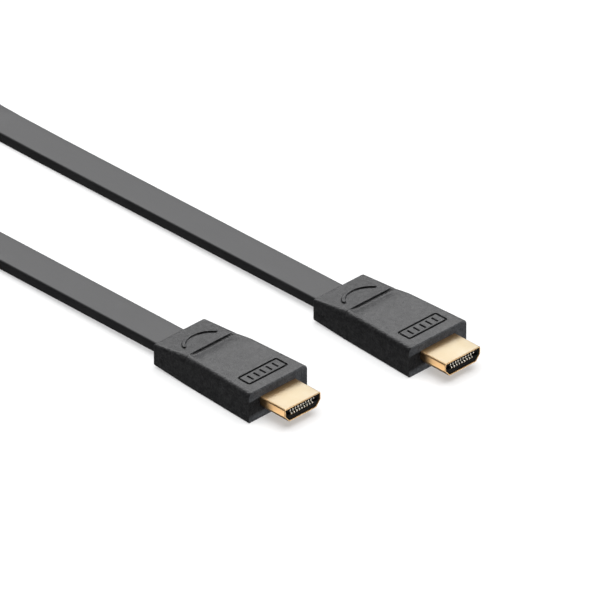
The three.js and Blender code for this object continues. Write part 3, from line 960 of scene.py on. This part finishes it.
def contact_material():
    """Bright plated contact metal, a little uneven."""
    material, nodes, links = new_material("contact_plate")
    shader = nodes["Principled BSDF"]
    shader.inputs["Metallic"].default_value = 1
    place = nodes.new("ShaderNodeTexCoord")
    cloud = nodes.new("ShaderNodeTexNoise")
    cloud.inputs["Scale"].default_value = 1800
    links.new(place.outputs["Object"], cloud.inputs["Vector"])
    tint = nodes.new("ShaderNodeValToRGB")
    tint.color_ramp.elements[0].color = (0.90, 0.84, 0.72, 1)
    tint.color_ramp.elements[1].color = (0.97, 0.93, 0.84, 1)
    links.new(cloud.outputs["Fac"], tint.inputs["Fac"])
    links.new(tint.outputs["Color"], shader.inputs["Base Color"])
    rough = nodes.new("ShaderNodeMapRange")
    rough.inputs["To Min"].default_value = 0.22
    rough.inputs["To Max"].default_value = 0.36
    links.new(cloud.outputs["Fac"], rough.inputs["Value"])
    links.new(rough.outputs["Result"], shader.inputs["Roughness"])
    return material


def contact_strip(name, low, high):
    """One contact of the roof row, around its own middle, sprung down in a hump near its nose."""
    length = high.x - low.x
    thick = high.z - low.z
    section = rounded_band(contact_width, thick, contact_edge, corner_steps=2, flat_steps=0)
    stops = [(-length / 2, 0, 1)]
    hump_steps = 12
    for i in range(hump_steps + 1):
        share = i / hump_steps
        x = length / 2 - hump_setback - hump_length / 2 + hump_length * share
        stops.append((x, -contact_hump * math.sin(math.pi * share) ** 2, 1))
    for i in range(5):
        angle = i / 4 * right_angle
        x = length / 2 - nose_round * (1 - math.sin(angle))
        stops.append((x, 0, 1 - 0.45 * (1 - math.cos(angle))))
    rings = []
    for x, drop, grow in stops:
        lift = (1 - grow) * thick / 2 + drop
        rings.append([Vector((x, point.x * mix(0.8, 1, grow), point.y * grow + lift)) for point in section])
    return skin_rings(name, rings)


def contact_rows_tree(strip, material):
    """Geometry nodes: two lines of points, a strip on each, the lower row turned over."""
    tree = bpy.data.node_groups.new("contact_rows", "GeometryNodeTree")
    inputs = {}
    for label, kind in (
        ("Upper count", "NodeSocketInt"),
        ("Lower count", "NodeSocketInt"),
        ("Pitch", "NodeSocketFloat"),
        ("Upper middle", "NodeSocketVector"),
        ("Lower middle", "NodeSocketVector"),
    ):
        inputs[label] = tree.interface.new_socket(label, in_out="INPUT", socket_type=kind).identifier
    tree.interface.new_socket("Contacts", in_out="OUTPUT", socket_type="NodeSocketGeometry")
    nodes = tree.nodes
    links = tree.links
    given = nodes.new("NodeGroupInput")
    result = nodes.new("NodeGroupOutput")
    join = nodes.new("GeometryNodeJoinGeometry")
    stamped = nodes.new("GeometryNodeObjectInfo")
    stamped.inputs["Object"].default_value = strip
    for row in ("Upper", "Lower"):
        less_one = nodes.new("ShaderNodeMath")
        less_one.operation = "SUBTRACT"
        less_one.inputs[1].default_value = 1
        links.new(given.outputs[row + " count"], less_one.inputs[0])
        reach = nodes.new("ShaderNodeMath")
        reach.operation = "MULTIPLY"
        links.new(less_one.outputs["Value"], reach.inputs[0])
        links.new(given.outputs["Pitch"], reach.inputs[1])
        half = nodes.new("ShaderNodeMath")
        half.operation = "MULTIPLY"
        half.inputs[1].default_value = 0.5
        links.new(reach.outputs["Value"], half.inputs[0])
        aside = nodes.new("ShaderNodeCombineXYZ")
        links.new(half.outputs["Value"], aside.inputs["Y"])
        start = nodes.new("ShaderNodeVectorMath")
        start.operation = "SUBTRACT"
        links.new(given.outputs[row + " middle"], start.inputs[0])
        links.new(aside.outputs["Vector"], start.inputs[1])
        stride = nodes.new("ShaderNodeCombineXYZ")
        links.new(given.outputs["Pitch"], stride.inputs["Y"])
        line = nodes.new("GeometryNodeMeshLine")
        line.mode = "OFFSET"
        links.new(given.outputs[row + " count"], line.inputs["Count"])
        links.new(start.outputs["Vector"], line.inputs["Start Location"])
        links.new(stride.outputs["Vector"], line.inputs["Offset"])
        put = nodes.new("GeometryNodeInstanceOnPoints")
        put.inputs["Rotation"].default_value = (0 if row == "Upper" else math.pi, 0, 0)
        links.new(line.outputs["Mesh"], put.inputs["Points"])
        links.new(stamped.outputs["Geometry"], put.inputs["Instance"])
        links.new(put.outputs["Instances"], join.inputs["Geometry"])
    realize = nodes.new("GeometryNodeRealizeInstances")
    paint = nodes.new("GeometryNodeSetMaterial")
    paint.inputs["Material"].default_value = material
    links.new(join.outputs["Geometry"], realize.inputs["Geometry"])
    links.new(realize.outputs["Geometry"], paint.inputs["Geometry"])
    links.new(paint.outputs["Geometry"], result.inputs["Contacts"])
    return tree, inputs


contact_metal = contact_material()
roof_low, roof_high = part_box("plug_a_contact_01")
strip_mesh = contact_strip("contact_strip", roof_low, roof_high)
strip = bpy.data.objects.new("contact_strip", strip_mesh)
rows, row_inputs = contact_rows_tree(strip, contact_metal)
for plug in ("plug_a", "plug_b"):
    names = [f"{plug}_contact_{i + 1:02d}" for i in range(upper_contacts + lower_contacts)]
    boxes = [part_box(name) for name in names]
    middles = []
    for row in (boxes[:upper_contacts], boxes[upper_contacts:]):
        low = Vector(min(box[0][axis] for box in row) for axis in range(3))
        high = Vector(max(box[1][axis] for box in row) for axis in range(3))
        middles.append((low + high) / 2)
    holder = bpy.data.objects.new(plug + "_rows", bpy.data.meshes.new(plug + "_rows"))
    bpy.context.scene.collection.objects.link(holder)
    modifier = holder.modifiers.new("rows", "NODES")
    modifier.node_group = rows
    modifier[row_inputs["Upper count"]] = upper_contacts
    modifier[row_inputs["Lower count"]] = lower_contacts
    modifier[row_inputs["Pitch"]] = contact_pitch
    modifier[row_inputs["Upper middle"]] = middles[0]
    modifier[row_inputs["Lower middle"]] = middles[1]
    evaluated = holder.evaluated_get(bpy.context.evaluated_depsgraph_get())
    realized = bpy.data.meshes.new_from_object(evaluated)
    holder.modifiers.remove(modifier)
    bpy.data.objects.remove(holder)
    realized.name = plug + "_contacts"
    contacts = place_piece(plug + "_contacts", realized, contact_metal)
    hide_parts(*names)
    bright_pieces.append(contacts)
bpy.data.objects.remove(strip)


# The floor is a wide sheet of plain white card, and isn't part of the cable.
# It is kept out of reflections, so the black plastic keeps its dark sides and edges.
floor_half = 4.0
floor_gap = 0.02 * mm


def card_material():
    material, nodes, links = new_material("floor_card")
    shader = nodes["Principled BSDF"]
    shader.inputs["Base Color"].default_value = (0.9, 0.9, 0.9, 1)
    shader.inputs["Roughness"].default_value = 1
    shader.inputs["Specular IOR Level"].default_value = 0
    return material


floor_mesh = bpy.data.meshes.new("floor")
floor_corners = [(-1, -1), (1, -1), (1, 1), (-1, 1)]
floor_mesh.from_pydata([(x * floor_half, y * floor_half, 0) for x, y in floor_corners], [], [(0, 1, 2, 3)])
floor_mesh.materials.append(card_material())
floor = bpy.data.objects.new("floor", floor_mesh)
floor.location.z = -floor_gap
bpy.context.scene.collection.objects.link(floor)
floor.visible_glossy = False
floor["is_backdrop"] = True


# The light is a soft box behind the plugs, which the flat tops mirror, set apart for the black
# plastic and for the plated metal, as a photographer sets flags. Wide ones hang overhead, and low
# ones in front reach the hoods' fronts and the contacts. Two shine up at the metal from below,
# in place of the white card that its sides and lips would mirror.
def soft_box(name, azimuth, elevation, distance, width, height, power, colour, lit, shading=None):
    """A rectangular lamp aimed at the plugs. Azimuth 0 is +X and 90 is +Y, in degrees."""
    lamp = bpy.data.lights.new(name, "AREA")
    lamp.shape = "RECTANGLE"
    lamp.size = width
    lamp.size_y = height
    lamp.energy = power
    lamp.color = colour
    holder = bpy.data.objects.new(name, lamp)
    turn = math.radians(azimuth)
    rise = math.radians(elevation)
    way = Vector((math.cos(turn) * math.cos(rise), math.sin(turn) * math.cos(rise), math.sin(rise)))
    holder.location = way * distance
    holder.rotation_euler = (-way).to_track_quat("-Z", "Y").to_euler()
    holder.visible_camera = False
    bpy.context.scene.collection.objects.link(holder)
    receivers = bpy.data.collections.new(name + "_lit")
    for piece in lit:
        receivers.objects.link(piece)
    holder.light_linking.receiver_collection = receivers
    if shading is not None:
        blockers = bpy.data.collections.new(name + "_shading")
        for piece in shading:
            blockers.objects.link(piece)
        holder.light_linking.blocker_collection = blockers


white = (1, 1, 1)
cool_white = (0.50, 0.69, 1)
pale_blue = (0.9, 0.95, 1)
warm_white = (1, 0.96, 0.9)
inner_blocks = [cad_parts[plug + "_insulator"] for plug in ("plug_a", "plug_b")]
both_kinds = bright_pieces + black_pieces
soft_box(
    "back_box", azimuth=135.6, elevation=32, distance=2.1, width=1.4, height=0.9,
    power=9.6, colour=cool_white, lit=bright_pieces,
)
soft_box(
    "black_box", azimuth=135, elevation=43, distance=2.0, width=2.4, height=1.1,
    power=132, colour=white, lit=black_pieces,
)
soft_box(
    "top_box", azimuth=0, elevation=90, distance=2.0, width=2.4, height=2.4,
    power=34, colour=white, lit=[floor, *bright_pieces, *inner_blocks],
)
soft_box(
    "floor_box", azimuth=0, elevation=90, distance=2.1, width=2.4, height=2.4,
    power=36, colour=white, lit=[floor], shading=[floor],
)
soft_box(
    "front_box", azimuth=48, elevation=2, distance=2.0, width=0.7, height=0.14,
    power=68, colour=pale_blue, lit=black_pieces,
)
soft_box(
    "mouth_box", azimuth=45, elevation=30, distance=2.0, width=0.8, height=0.6,
    power=10, colour=white, lit=bright_pieces[2:],
)
soft_box(
    "rim_box", azimuth=45, elevation=-32, distance=2.0, width=0.8, height=0.6,
    power=4, colour=white, lit=bright_pieces, shading=both_kinds,
)
soft_box(
    "side_box", azimuth=224, elevation=-32, distance=2.0, width=1.6, height=1.0,
    power=6, colour=warm_white, lit=bright_pieces, shading=both_kinds,
)
room = bpy.data.worlds.new("room")
room.use_nodes = True
room.node_tree.nodes["Background"].inputs["Color"].default_value = (0.95, 0.97, 1, 1)
room.node_tree.nodes["Background"].inputs["Strength"].default_value = 0.1
bpy.context.scene.world = room
bpy.context.scene.view_settings.view_transform = "Standard"

boxes = {
    "cad": [list(corner) for corner in cad_box],
    "visual": [list(corner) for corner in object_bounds()],
}
